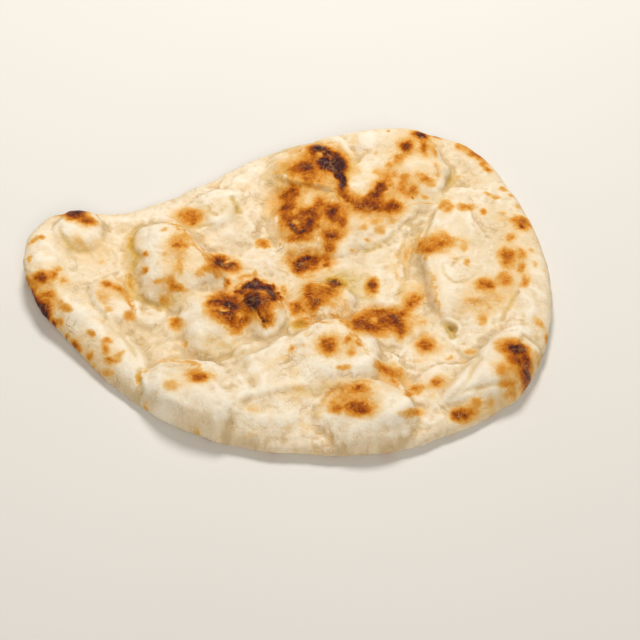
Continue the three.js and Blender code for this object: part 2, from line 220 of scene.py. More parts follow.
# Browned places as they show from the front: x, y, half length, half width, turn, how dark (1 is charred, and
# more than 1 chars a wider part of the place).
SPOTS = [
    # narrow lobe
    (-118, 43, 7, 4.5, -14, .82), (-129, 44.5, 5, 2.2, 12, .8), (-112, 38, 6, 3.6, -25, .66),
    (-116, 46, 5, 2, -8, .95), (-134, 26, 2.2, 1.6, 0, .45), (-139, 23, 4.5, 1.6, 40, .4),
    (-139, 10, 1.5, 2.5, 0, .35), (-131.5, -2, 4.2, 3.6, 0, .78), (-126, 0, 3, 3.5, 0, .55),
    (-139.5, -3, 3, 4.5, 40, .6), (-124, 3, 2.6, 2, 0, .45), (-120, -5, 2, 2.3, 0, .5),
    (-136, -11, 2, 3.2, -30, .55), (-128, -13.5, 3.6, 2.6, 10, .58), (-130, -23, 4.4, 7, 15, .8),
    (-131, -17, 5, 4, 0, .5), (-135, -24, 2, 7, 32, .75), (-117, -23, 3.6, 2.6, -15, .52),
    (-120, -19.5, 2, 1.6, 0, .35), (-121, -32, 2.6, 2.6, 0, .5), (-114, -45, 2.4, 3, -60, .6),
    (-103, -40, 1.7, 2.7, 40, .5), (-103, -54, 2.3, 3, 30, .45), (-94, -44.5, 3, 1.8, 0, .4),
    (-95, -50, 2, 3.6, 20, .45), (-91, -58, 4, 2.5, 0, .56), (-87, -54, 3.2, 1.5, 50, .45),
    (-93, -65, 3.6, 1.9, -25, .5), (-108, -57, 4, 1.6, -50, .5), (-101, 9, 1.5, 2, 0, .35),
    (-96, -7, 3.2, 1.5, -25, .55), (-90, -10.5, 4.2, 1.4, -35, .5), (-86, -16, 3, 1.8, -60, .42),
    (-98, -17, 3, 6, 25, .25), (-95, -24, 3, 2, 0, .3), (-84, -29, 3, 4, 0, .35),
    (-117, -57, 3, 1.5, -45, .4),
    # long ridge and its left side
    (-60, 20, 3.2, 2, 0, .66), (-58, 23, 6, 6, 0, .36), (-56, 20, 2, 2, 0, .5), (-68, 31, 2, 1.5, 0, .35),
    (-77, 14, 1.2, 2.2, -20, .42), (-67, 14, 1.5, 1.5, 0, .3), (-77, 3, 1.9, 2.3, 0, .52),
    (-58, 6, 2.6, 7, 0, .35), (-62, -6, 4, 3, -40, .5), (-59, -10, 4.5, 2.5, 0, .56),
    (-66, -18, 2.6, 4, 0, .42), (-69, -5, 4, 2, 0, .3), (-44, 3, 3, 6, -50, .42), (-55, 41, 6, 6, 0, .42),
    (-54, 37.5, 2.5, 2.5, 0, .56),
    # twins, middle, front dome, front edge and the band behind it
    (-34.2, -23.6, 7, 6, 0, .54), (-29.8, -31.1, 5, 4, 0, .48), (-14.1, -21.6, 6, 7, 0, .52),
    (-10.7, -29.7, 4, 5, 0, .46), (-36, -18.9, 7, 5.5, 0, .64), (-28.3, -26.3, 6, 6, 0, .6),
    (-33.5, -18.5, 8.5, 5.5, -8, .64), (-27, -30, 6.5, 8, 0, .6), (-31, -21.5, 4, 3, 0, 1.15),
    (-38, -18.5, 3.5, 1.5, 0, .94), (-36, -25.5, 4.5, 1, -8, .92), (-28, -37.5, 3.5, 3.5, 0, .46),
    (-22, -26, 3.5, 4.5, 0, .4), (-17, -9, 6, 3, -6, .86), (-18.5, -17, 5, 5.2, 0, 1.1),
    (-7, -15.5, 2, 5.5, 20, .46), (-10.5, -27.5, 3.5, 7, 10, .56), (-12.5, -17.5, 2.5, 4, 0, .7),
    (-33, -6, 1.5, 3, 0, .64), (-18.5, 1, 1, 3.5, 0, .42), (-2.5, -11.5, 2.5, 3.5, 0, .5),
    (-23, -1, 6, 1.5, 10, .32), (5, -24, 4, 5, 0, .56), (6, -33.5, 4.5, 2.5, 0, .5),
    (17, -11.5, 9, 6.5, 0, .52), (13.5, -20, 3.5, 6, 0, .7), (25, -6, 5, 3.5, -10, .74),
    (10.5, -12, 3.5, 5.5, 0, .52), (28, -21, 5, 7, 0, .26), (21.5, -28, 6, 2.5, 0, .2),
    (45.5, -32.5, 10, 6.5, 0, .66), (42.5, -34.5, 4, 3.4, 0, .76), (56, -29.5, 5.5, 4.5, 0, .64),
    (58.5, -38, 3, 6.5, 0, .58), (36.5, -34.5, 3.5, 4, 0, .68), (65.5, -20, 6, 2.5, 48, .58),
    (68.5, -15.5, 3.5, 3, 0, .52), (60.5, -27.5, 2, 4, -20, .6), (50, -25, 7.5, 2, 0, .6),
    (72, -47.5, 5, 4, 8, .5), (73, -47.5, 2.5, 2.2, 10, .54), (45.5, -8, 2.5, 5.5, 0, .68),
    (44, -9, 4, 7.5, 0, .34), (68, -58.5, 5, 2.5, 0, .2), (71.5, -33, 3, 2.5, 0, .22),
    (20.5, -47.5, 5, 6.5, 0, .5), (21.5, -47, 2.5, 3.5, 0, .56), (31, -44, 2, 4, -25, .62),
    (32.5, -50.5, 2.5, 4.5, 0, .38), (29.5, -61.5, 4, 2, 0, .4), (18, -32.5, 7, 1, -6, .34),
    (5, -35.5, 2.5, 1.5, 0, .36), (34.5, -75, 7, 3, -8, .6), (36.5, -73.5, 3.5, 2, 0, .76),
    (35.5, -86.5, 7, 4.5, -12, .62), (38, -88.5, 3.5, 2.5, -10, .74), (24.5, -87, 4, 4, 0, .48),
    (30.5, -80.5, 4.5, 3.5, 0, .42), (50.5, -64, 6.5, 2.5, -35, .5), (47.5, -61.5, 3, 2.5, 0, .4),
    (57.5, -65, 2.5, 3, 0, .36), (65.5, -76.5, 5.5, 2.5, 15, .5), (62.5, -79, 2, 1.5, 0, .54),
    (76.5, -71.5, 2.5, 3, 0, .58), (63, -90.5, 6.5, 3, 0, .4), (-45, -67, 5.5, 3.5, -18, .58),
    (-42, -68, 2, 2, -20, .68), (-58, -73, 5, 4, 0, .26), (-59, -33, 3.5, 4, 0, .46),
    (-54, -47, 1.5, 2.5, 0, .44), (-54, -58.5, 2.5, 1, 15, .3), (-35.5, 8, 8, 4.6, -22, .68),
    (-38, 8, 3.4, 2.4, -20, .96), (-32, 7.5, 3, 2, 0, .96), (8, -48, 1.2, 1.6, 0, .3),
    (2, -50, 1.5, 2.6, 0, .4), (-3, -56, 5, 1.5, 20, .24), (-72, -84, 1.5, 2, 0, .35),
    (-17, -88, 3.6, 2.6, 0, .3), (-49, -97, 4, 3, 0, .5), (6, -75, 3, 2.2, 0, .24),
    (-57, -92, 4, 2, 0, .3), (-58, -34.5, 5.5, 4.5, 0, .24),
    # lower right
    (84, -56, 2.6, 1.6, 30, .35), (95, -52, 3.4, 2.2, 0, .36), (92, -59, 1.6, 2.6, 0, .22),
    (88, -92, 4, 4, 0, .7), (97, -84, 3, 3, 0, .42), (104, -85, 3, 4, 0, .3), (94, -91, 4, 3, 0, .4),
    (119, -50, 5, 3.2, -12, 1.1), (115, -48, 7.5, 5, 0, .46), (123, -57, 2.6, 5.5, 8, .78),
    (123, -65, 2.2, 2.8, 0, 1.05), (122, -66, 3.6, 5, 0, .72), (118, -57, 5.5, 3, -10, .6),
    (124, -73, 4, 4, 0, .68), (113, -72, 5, 3, 0, .5), (114, -79, 5, 3, 20, .4),
    (108, -63, 4.4, 4.4, 0, .35), (114, -63, 2.2, 2, 0, .3), (136, -43, 1.6, 4, 0, .5),
    (132, -33, 2.5, 5, 35, .34), (130, -55, 2, 5, 20, .3),
    # right
    (128, 36, 4.4, 4.6, 0, .6), (127, 34, 2.2, 2.4, 0, .76), (124, 39, 3, 2.4, 20, .5),
    (120.5, 26, 2.2, 3, 0, .52), (118, 12, 4.4, 6, -12, .6), (117, 9, 2.6, 2.6, 0, .56),
    (125, 14, 2.4, 4, 0, .46), (124.5, 5, 2.4, 4.2, 0, .5), (131, 17, 1.8, 1.6, 0, .35),
    (133, 7, 1.2, 2.6, 0, .36), (138, 3, 1.2, 2, 0, .3), (116, -3.5, 4.2, 4.8, 10, .48),
    (105, -7, 4.6, 4.6, 0, .44), (107, -8, 2.4, 2.2, 0, .52), (126, -5, 2.4, 4.4, -28, .5),
    (96, 8, 1.5, 3, 0, .4), (95, 19, 2, 4.4, -10, .3), (90, 11, 2, 1.5, 0, .26), (98, -19, 5, 3, 10, .32),
    (102, -31, 3, 4, 0, .32), (106, -22, 1.2, 2.2, 0, .26), (112, -17, 2.2, 2, 0, .28),
    (81, 22, 7, 5, 15, .38), (75.5, 17, 4, 3.2, 20, .44), (85, 24, 4.5, 4, 0, .4),
    (74, 12, 1.1, 1.6, 0, .5), (72, 22, 2, 5, 0, .4), (64, 14, 2, 6, 0, .36), (69, 17, 4, 2, 0, .34),
    (98, 48, 5, 2.4, 5, .44), (87, 49, 3.2, 4.4, 0, .42), (107, 45, 2, 2.5, 0, .45),
    (117, 44, 2.4, 1.5, 0, .42), (116, 40, 3, 2.4, 0, .26), (110, 58, 3, 1.5, -28, .36),
    (115, 55.5, 2.6, 1.6, -10, .42), (119, 62, 2.6, 2, 0, .36), (124, 57, 2.4, 1.5, -30, .35),
    (127, 49, 2.6, 2, -20, .3),
    # back right edge
    (96, 95, 2.2, 3, 0, .42), (106, 88, 5, 2.8, -32, .62), (109, 81, 2.2, 2, 0, .42),
    (112, 77, 3.4, 2.2, -28, .5), (101, 94, 5, 1.8, -28, .34),
    # charred crest, and the blisters round it
    (40, 33.4, 2.6, 2, 0, .36), (47.2, 37.8, 3, 2, 0, .34), (56.6, 37.8, 2.4, 2, 20, .34),
    (43.1, 24.6, 2, 1.6, 0, .32), (57.5, 72.3, 2.4, 3, 0, .42), (62.9, 61.6, 2.4, 2, 0, .4),
    (55.4, 80, 3, 2.4, 20, .4), (82.4, 72.3, 2, 3, 10, .4), (75, 55.6, 3, 1.8, -10, .4),
    (34.7, 57.1, 5, 4, 20, .5), (40.2, 50.3, 6, 5, 0, .56), (47.6, 57.1, 5, 5, 30, .62),
    (52.3, 64.6, 3, 4, 0, .5), (59.2, 49.6, 4, 3, 0, .46), (5.8, 34.8, 7, 6, 0, .6),
    (.1, 46.6, 5, 8, 0, .56), (12.4, 43.7, 4, 7, 0, .54), (23.5, 45.1, 5, 7, 0, .56),
    (64.2, 70.7, 3, 2.4, 0, .46), (68.5, 61.6, 2.6, 3, 20, .42), (73.3, 72.3, 3, 1.8, -20, .44),
    (78.7, 64.6, 2.4, 2.4, 0, .4), (61.2, 84.6, 3, 2.5, 30, .46), (22.5, 82.3, 9.5, 7, -48, 1.15),
    (15.7, 91.7, 5, 3, 10, .96), (20.2, 86.2, 9, 6, -30, .82), (6.6, 76.9, 8, 4.6, 18, .74),
    (11.5, 69.5, 8.5, 5.5, -5, .46), (6, 89.5, .5, .5, 0, .7), (39, 79, 4.5, 3.5, 60, .42),
    (48.5, 48.5, 13, 4, -4, .54), (57, 49.5, 5, 3.5, 0, .62), (54, 70.5, 3, 5.5, 0, .48),
    (49, 74.5, 3, 3, 0, .3), (11, 41, 5, 8.5, 10, .7), (14.5, 50.5, 3.5, 4.5, 0, .52),
    (24, 44, 4.5, 6, 0, .72), (28, 37, 3, 5.5, 0, .46), (22.5, 28, 5.5, 4.5, 0, .74),
    (21.5, 18.5, 3.5, 4, 0, .58), (5.5, 25.5, 8.5, 2.5, 0, .58), (-3.5, 42, 2.5, 12, 0, .4),
    (11.5, 10, 8.5, 3.5, -4, .64), (6.5, 6.5, 4.5, 4.5, 0, .7), (9.5, 11.5, 3.5, 2, 0, .96),
    (19.5, 9.5, 3, 5, 0, .66), (11, 3, 9.5, 3.5, 0, .34), (-15, 22, 4, 3.5, 0, .5),
    (-10.5, 20, .5, .5, 0, .9), (-5.5, 22, .5, 1, 10, .8), (65.5, 94, 4, 4, 0, .72),
    (74, 102.5, 4, 2.5, -20, .94), (75.5, 93.5, 2, 5.5, 0, .72), (62, 85, 6, 2.5, 45, .46),
    (83.5, 102, 4, 1, -42, .66), (81.5, 91, 1.5, 4.5, 0, .42), (57, 79, 2.5, 3.5, 0, .36),
    (76, 69, 5, 3, 0, .5), (72.5, 72, 2.5, 2.5, 0, .42), (63.5, 67.5, 2.5, 5.5, 0, .42),
    (67.5, 58, 5, 3, 0, .46), (82.5, 76.5, 1.5, 4, 0, .34), (68.5, 55, .5, .5, 0, 1),
    (74, 51, 8, .5, 0, .4), (86, 49.5, 3, 4, 0, .42), (95.5, 48.5, 3, 3, 0, .46),
    (55.5, 105, 1, 1, 0, .5), (49, 87.5, 1.5, 2, 0, .36), (46, 40.5, 4.5, 7.5, 0, .16),
    (50, 31, 3.5, 3.5, 0, .28), (53.5, 6, 3, 2.5, 0, .2), (34.5, 17, 2, 1.5, 0, .42),
    (-6.5, 73, 2.5, 2, 0, .36), (22.5, 97, 2.5, 1, 0, .36), (94.5, 71.5, 2.5, 2, 0, .3),
]
# Browned places that run along a line: points as they show from the front, half width, how dark. The faint
# ones in the long ridge's left valley and the front-left crease are partly painted shade in those valleys.
SEARS = [
    ([(-26, -15), (-24, -9), (-19, -6), (-13, -8), (-8, -13), (-4, -20)], 3.3, 0.95),
    ([(25.3, 78.4), (27.5, 72.3), (29.2, 66.2), (29.7, 61.6)], 3, 1.05),
    ([(28.6, 64.6), (30.8, 57.1), (35.2, 51.8)], 4.2, 0.64),
    ([(32.4, 52.6), (39.1, 49.6), (46.9, 49.6), (54.7, 50.3)], 3, 0.6),
    ([(42.5, 54.1), (47.1, 57.8), (51.6, 62.4), (53.4, 67.7)], 3.8, 0.76),
    ([(3.8, 66.2), (1.1, 57.1), (-0.4, 46.6), (1.3, 36.3), (5.8, 29)], 4.8, 0.62),
    ([(0.7, 39.2), (4.1, 31.2), (8.5, 29)], 3, 0.82),
    ([(6.9, 27.5), (11.3, 33.4), (13.5, 43.7)], 4.8, 0.62),
    ([(-24.4, -14.8), (-20.5, -19.5), (-16.7, -23.6), (-13.4, -29), (-10.6, -35.7)], 0.7, 1),
    ([(4.1, -34.4), (9.4, -29.7), (16.8, -27.7), (25.3, -29.7), (31.6, -35.1), (36.7, -44.4),
      (41.8, -53.5)], 0.9, 0.44),
    ([(-71.8, 38.5), (-60.4, 33.4), (-51.7, 22.5), (-44, 8.9), (-37, -5.1)], 1.1, 0.42),
    ([(-99.4, -5.8), (-91.6, -9.3), (-84.6, -17.5), (-81.3, -28.4)], 0.9, 0.42),
    ([(-86.2, 30.4), (-86.6, 20.3), (-82.8, 11.8), (-84.5, 4.7), (-85.5, -3.7), (-81.2, -12)], 1.3, 0.38),
    ([(-72.9, -61.3), (-76.1, -67.7), (-74.6, -75.4)], 1, 0.32),
    ([(-12.6, 70.7), (-3.5, 68.4), (3.9, 64.6), (11.2, 63.1), (18.5, 60.1)], 0.8, 0.46),
    ([(75.3, 6.1), (77, -7.9), (79.1, -21.6), (82.5, -29.7)], 1.2, 0.26),
    ([(6, -4.4), (13.6, -1.6), (21.6, -4.4), (27.5, -12)], 1.1, 0.5),
    ([(-0.8, -20.2), (5.1, -20.2), (9.9, -27.7)], 0.9, 0.48),
    ([(62.9, 24.6), (59.4, 16), (58, 4.7), (59.8, -6.5)], 1.3, 0.26),
    ([(-71.4, -60), (-60.1, -57.4), (-49.7, -58.7), (-39.6, -65.2), (-32.5, -74.1)], 1.3, 0.26),
    ([(14.8, -89.1), (18.8, -81.7), (27.1, -74.1), (36.4, -70.9), (45.6, -72.8)], 1.3, 0.3),
    ([(43.9, -54.8), (47.9, -62.6), (53.9, -69), (58.8, -77.9)], 0.9, 0.4),
]
# Wide golden places round the browned ones, in the same form.
GLOWS = [
    (22.5, 78.4, 15, 14, -20, .24), (6.8, 45.1, 13, 15, 0, .24), (42.5, 54.1, 16, 10, 10, .2),
    (10, 80, 18, 17, 8, .26), (2, 48, 15, 24, 0, .26), (22, 42, 12, 20, 0, .26), (46, 57, 19, 13, 25, .2),
    (50, 42, 16, 8, 10, .18), (70, 86, 16, 22, 0, .2), (9, 10, 14, 9, 0, .26), (-30, -24, 12, 13, 0, .22),
    (-14, -18, 9, 13, 0, .24), (15, -13, 13, 11, 0, .16), (51, -33, 17, 9, 0, .34),
    (67, -16, 7, 12, -30, .26), (37, -82, 12, 12, 0, .22), (-59, 10, 12, 18, 10, .18),
    (-62, -12, 12, 9, 0, .16), (-128, -10, 10, 16, 0, .18), (118, -56, 9, 14, 10, .16),
    (122, 20, 12, 24, 0, .12), (82, 22, 13, 9, 10, .28), (-37, 8, 9, 6, -28, .26),
    (23, -47, 11, 8, 0, .18), (-95, -8, 9, 8, -30, .18), (-102, -50, 12, 11, -40, .12),
    (-55, 41, 12, 9, 0, .2), (104, -16, 17, 13, 0, .2), (-50, -68, 12, 8, 0, .12),
    (74, -48, 8, 7, 0, .24), (78, -72, 9, 6, 0, .2), (106, 88, 12, 5, -30, .2), (96, -88, 14, 7, 10, .16),
    (-86, 10, 8, 26, 0, .16), (-106, 16, 14, 10, 0, .16), (78, -8, 7, 26, 5, .14),
    (-8, 62, 12, 24, 0, .14), (53, -68, 8, 10, -30, .2), (-66, -45, 26, 10, -20, .1),
    (-32, 48, 12, 10, 0, .12), (-114, 22, 9, 6, 0, .24), (60, 4, 8, 20, 0, .1), (10, -76, 20, 8, 0, .16),
]
# Pale holes in the browned places: x, y, half length, half width, turn, how much paler.
PALE_HOLES = [
    (17.4, 87, 1.8, 1.8, 30, .9), (15.5, 85, 1.4, 1.2, 0, .5), (10.7, 53.3, 3.2, 5.5, -15, .7),
    (37.6, 65.4, 5, 6, 0, .9), (42.9, 80.8, 7, 5, 20, .6), (69.1, 80, 7, 5, 0, .5),
    (17, -2, 4, 3.4, 0, .6), (19, -25, 2.6, 2.6, 0, .5), (3, 44, 2, 2, 0, .4), (3, 37.5, 2, 1.2, -20, .5),
    (-24, -27, 2.6, 2, 0, .5), (45, -31, 2.6, 1.6, 10, .4), (-33.5, 9.5, 3, .5, 30, .6),
    (-33, -24.5, 2.4, .5, -6, .7), (44, 40, 3, 4, 0, .3),
]
# Where melted butter lies on the crust, with an olive tint, and where that tint is painted shade in valleys
# and in the torn blister's hole: x, y, half length, half width, turn, how much.
BUTTER_AND_SHADE = [
    (30.3, -3, 10, 6, 0, .8), (36.6, -10.6, 5, 4, 0, .6), (-38, -46, 13, 5, -15, .4),
    (-63, -21, 8, 5, 20, .35), (-80, -10, 4, 9, 20, .4), (90, 69, 2.2, 4.2, 0, .6),
    (9, -77, 9, 3, 0, .35), (-113, 22, 9, 4, 0, .25), (86, -36.5, 3, 4.4, 20, .95),
    (-33, 46, 5, 4, 0, .3), (-86, 16, 3.5, 10, 0, .3), (4, -36, 5, 3, 30, .45), (20, -74, 3, 1.5, 0, .6),
    (42, -17, 4, 3, 0, .35), (-8, 70, 6, 8, 0, .2),
]


# ---------------------------------------------------------------- plan grid, lines and noise
def smooth_line(points, closed, samples):
    """Points at even distances along a smooth line through the given ones."""
    given = np.array(points, float)
    if closed:
        ends = np.vstack([given[-1:], given, given[:2]])
    else:
        ends = np.vstack([2 * given[0] - given[1], given, 2 * given[-1] - given[-2]])
    pieces = []
    for a, b, c, d in zip(ends, ends[1:], ends[2:], ends[3:]):
        gaps = [math.sqrt(np.linalg.norm(q - p)) for p, q in ((a, b), (b, c), (c, d))]
        start = (b - a) / gaps[0] - (c - a) / (gaps[0] + gaps[1]) + (c - b) / gaps[1]
        stop = (c - b) / gaps[1] - (d - b) / (gaps[1] + gaps[2]) + (d - c) / gaps[2]
        start, stop = start * gaps[1], stop * gaps[1]
        t = np.linspace(0, 1, 40, endpoint=False)[:, None]
        bend = (2 * b - 2 * c + start + stop) * t**3 + (3 * c - 3 * b - 2 * start - stop) * t**2
        pieces.append(bend + start * t + b)
    dense = np.vstack(pieces + [given[:1] if closed else given[-1:]])
    along = np.concatenate([[0], np.cumsum(np.linalg.norm(np.diff(dense, axis=0), axis=1))])
    wanted = np.linspace(0, along[-1], samples, endpoint=not closed)
    return np.stack([np.interp(wanted, along, dense[:, k]) for k in (0, 1)], axis=1)


def noise(x, y, size, seed):
    """Smooth noise between about -1 and 1, with lumps about size millimetres wide."""
    angles = np.random.default_rng(seed).uniform(0, 2 * np.pi, (256, 256))
    u, v = x / size + 128.5, y / size + 128.5
    i, j = np.floor(u).astype(int), np.floor(v).astype(int)
    fu, fv = u - i, v - j

    def corner(di, dj):
        angle = angles[(i + di) % 256, (j + dj) % 256]
        return np.cos(angle) * (fu - di) + np.sin(angle) * (fv - dj)

    su, sv = (f * f * f * (f * (f * 6 - 15) + 10) for f in (fu, fv))
    near = corner(0, 0) * (1 - su) + corner(1, 0) * su
    far = corner(0, 1) * (1 - su) + corner(1, 1) * su
    return 1.5 * (near * (1 - sv) + far * sv)


def blurred(field, width):
    """The field softened by a bell of this width in millimetres."""
    down = np.fft.fftfreq(field.shape[0], GRID_STEP)[:, None]
    across = np.fft.rfftfreq(field.shape[1], GRID_STEP)[None, :]
    keep = np.exp(-2 * (np.pi * width) ** 2 * (down**2 + across**2))
    return np.fft.irfft2(np.fft.rfft2(field) * keep, field.shape)


def smoothstep(low, high, value):
    t = np.clip((value - low) / (high - low), 0, 1)
    return t * t * (3 - 2 * t)


def ellipse(x, y, middle, half, turn):
    """Squared distance from the middle, 1 on the ellipse."""
    dx, dy = x - middle[0], y - middle[1]
    cos, sin = math.cos(math.radians(turn)), math.sin(math.radians(turn))
    return ((dx * cos + dy * sin) / half[0]) ** 2 + ((dy * cos - dx * sin) / half[1]) ** 2


def across_line(x, y, points, reach):
    """Where the grid is near a smooth line, the signed distance across it, above nought on the left, and a
    fade that ends the line softly."""
    line = smooth_line(points, False, 14 * len(points))
    (left, front), (right, back) = line.min(0) - reach, line.max(0) + reach
    near = (x > left) & (x < right) & (y > front) & (y < back)
    px, py = x[near], y[near]
    distance = np.full(px.shape, np.inf)
    side = np.zeros(px.shape)
    place = np.zeros(px.shape)
    heading = np.gradient(line, axis=0)
    for k, ((lx, ly), (hx, hy)) in enumerate(zip(line, heading)):
        d = np.hypot(px - lx, py - ly)
        closer = d < distance
        distance[closer], place[closer] = d[closer], k / (len(line) - 1)
        side[closer] = (hx * (py - ly) - hy * (px - lx))[closer]
    fade = smoothstep(0, 0.2, place) * smoothstep(0, 0.2, 1 - place)
    return near, distance * np.sign(side), fade


def stroke(x, y, points, width):
    """1 along a smooth line through the points, fading across it and at its ends."""
    near, across, fade = across_line(x, y, points, 3 * width)
    out = np.zeros_like(x)
    out[near] = np.exp(-((across / width) ** 2)) * np.sqrt(fade)
    return out


def fold(x, y, points, body, drop):
    """1 along a fold's edge, falling slowly over the raised body and fast on the other side."""
    near, across, fade = across_line(x, y, points, 2.4 * body)
    out = np.zeros_like(x)
    out[near] = np.exp(-((across / np.where(across > 0, body, drop)) ** 2)) * fade
    return out


columns = np.arange(-GRID_HALF_LENGTH, GRID_HALF_LENGTH + GRID_STEP / 2, GRID_STEP)
rows = np.arange(-GRID_HALF_WIDTH, GRID_HALF_WIDTH + GRID_STEP / 2, GRID_STEP)
X, Y = np.meshgrid(columns, rows)


def on_grid(field, x, y):
    """The field's value at any places, between the grid's points."""
    u = (x + GRID_HALF_LENGTH) / GRID_STEP
    v = (y + GRID_HALF_WIDTH) / GRID_STEP
    i = np.clip(np.floor(u).astype(int), 0, field.shape[1] - 2)
    j = np.clip(np.floor(v).astype(int), 0, field.shape[0] - 2)
    fu, fv = u - i, v - j
    front = field[j, i] * (1 - fu) + field[j, i + 1] * fu
    back = field[j + 1, i] * (1 - fu) + field[j + 1, i + 1] * fu
    return front * (1 - fv) + back * fv


# ---------------------------------------------------------------- outline
OUTLINE_SAMPLES = 4000
rim_line = smooth_line(OUTLINE, True, OUTLINE_SAMPLES)
rim_wander = 0.8 * noise(*rim_line.T, 16, 3) + 0.3 * noise(*rim_line.T, 5, 4)
rim_reach = np.hypot(rim_line[:, 0], rim_line[:, 1]) + rim_wander
rim_angle = np.unwrap(np.arctan2(rim_line[:, 1], rim_line[:, 0]))


def reach_at(x, y):
    """Distance from the middle to the outline, in the direction of each place."""
    turn = 2 * np.pi
    order = np.argsort(rim_angle % turn)
    return np.interp(np.arctan2(y, x) % turn, rim_angle[order] % turn, rim_reach[order], period=turn)


INSET = reach_at(X, Y) - np.hypot(X, Y)


# ---------------------------------------------------------------- shape of the two faces
def underside_height(x, y):
    height = np.zeros_like(x)
    for (ax, ay), start, over, rise in CURLS:
        past = np.maximum(0, (x * ax + y * ay - start) / over)
        height += rise * past**2
    return height


def dough_thickness(inset):
    return DOUGH_THICKNESS + RIM_SWELL * np.exp(-(((inset - RIM_SWELL_INSET) / RIM_SWELL_WIDTH) ** 2))


def blister(x, y, middle, half, turn, rise, steep):
    """A dome whose fall-off is steep on one side and gentle on the other."""
    inside = np.clip(1 - ellipse(x, y, middle, half, turn) ** 1.3, 0, 1)
    facing = (1 + np.cos(np.arctan2(y - middle[1], x - middle[0]) - math.radians(steep))) / 2
    return rise * inside ** (BLISTER_SOFT + (BLISTER_SHARP - BLISTER_SOFT) * facing)


def blisters(x, y):
    """All blisters together: where two meet, the higher one leads and a crease stays between them."""
    wx = x + 2.4 * noise(x, y, 17, 11) + 0.8 * noise(x, y, 6, 12)
    wy = y + 2.4 * noise(x, y, 17, 13) + 0.8 * noise(x, y, 6, 14)
    total = np.zeros_like(x)
    for row in BLISTERS + SMALL_BLISTERS:
        total += blister(wx, wy, *row) ** 3
    swell = np.zeros_like(x)
    for middle, half, turn, rise in SWELLS:
        swell += rise * np.exp(-1.2 * ellipse(wx, wy, middle, half, turn))
    return np.cbrt(total) + swell * smoothstep(0, 14, INSET)


def seen_y(y, height):
    """Where a place of the surface shows on the sight plane, looking from the front."""
    return y + (height - SIGHT_PLANE) / math.tan(math.radians(SIGHT_ELEVATION))


UNDER = underside_height(X, Y)
DOMES = blisters(X, Y)
TOP = UNDER + dough_thickness(INSET) + DOMES
LUMP_RIDGES = 1 - 2 * np.abs(noise(X + 3 * noise(X, Y, 18, 24), Y, 13, 22))
LUMPS = LUMP_RISE * noise(X, Y, 24, 21) + LUMP_RIDGE_RISE * LUMP_RIDGES
TOP = TOP + LUMPS * smoothstep(0, 10, INSET)
SEEN = seen_y(Y, TOP)
POOLED_FAT_AND_SHADE = np.zeros_like(X)
for points, body, drop, rise in FOLDS:
    TOP = TOP + rise * fold(X, SEEN, points, body, drop) * smoothstep(0, 8, INSET)
SEEN = seen_y(Y, TOP)
for points, width, rise in RIDGES:
    TOP = TOP + rise * stroke(X, SEEN, points, width)
# each crease's fat, which is also painted shade in that crease
for points, width, depth, fat_and_shade in CREASES:
    line = stroke(X, SEEN, points, width)
    TOP = TOP - depth * line
    POOLED_FAT_AND_SHADE = np.maximum(POOLED_FAT_AND_SHADE, fat_and_shade * np.sqrt(line))
# the torn blister: a hole with a raised lip on its right
TEAR = np.exp(-ellipse(X, SEEN, (87, -37), (3.6, 5.5), 25))
TEAR_LIP = stroke(X, SEEN, [(83, -30), (87, -32), (90, -36), (88, -42)], 1.1)
TOP = TOP - TEAR_DEPTH * TEAR + TEAR_LIP_RISE * TEAR_LIP
WRINKLES = 1 - 2 * np.abs(noise(X + 2 * noise(X, Y, 9, 31), Y + 2 * noise(X, Y, 9, 32), 4.5, 33))
LOWNESS = smoothstep(-0.4, 1.4, blurred(TOP, 9.0) - TOP)
CRUMPLED = 1 - 2 * np.abs(noise(X + 5 * noise(X, Y, 16, 36), 1.4 * Y + 5 * noise(X, Y, 16, 37), 10, 38))
TOP = TOP + 0.30 * WRINKLES * smoothstep(-0.3, 0.6, noise(X, Y, 26, 34)) + 0.16 * noise(X, Y, 2.2, 35)
TOP = TOP + (CRUMPLE_RISE * CRUMPLED + WRINKLE_RISE * WRINKLES) * LOWNESS * smoothstep(0, 8, INSET)
TOP = blurred(TOP, 0.36)
SEEN = seen_y(Y, TOP)

# ---------------------------------------------------------------- browning, butter, flour, and painted shade and highlights
# how far each place lies below its neighbours; the colour uses it for painted shade in hollows and painted
# highlights on raised places
CAVITY = 1.3 * (blurred(TOP, 1.6) - TOP) + 0.30 * (blurred(TOP, 5.0) - TOP)


def marks(rows, x, y):
    """The rows' ellipses laid over each other. Small ones fade evenly; large ones are flat with a crisper
    edge."""
    field = np.zeros_like(x)
    for px, py, half_length, half_width, turn, strength in rows:
        reach = 2.4 * max(half_length, half_width)
        near = (np.abs(x - px) < reach) & (np.abs(y - py) < reach)
        shape = ellipse(x[near], y[near], (px, py), (half_length, half_width), turn)
        sharpness = min(2.0, 1.05 + 0.12 * min(half_length, half_width))
        value = strength * np.exp(-((0.70 * shape) ** sharpness))
        under = field[near]
        field[near] = np.maximum(under, value) + 0.2 * np.minimum(under, value) * (1 - under)
    return field


def ragged(x, y, seed):
    return 0.9 * noise(x, y, 6, seed) + 0.7 * noise(x, y, 2.6, seed + 1) + 0.4 * noise(x, y, 1.3, seed + 2)


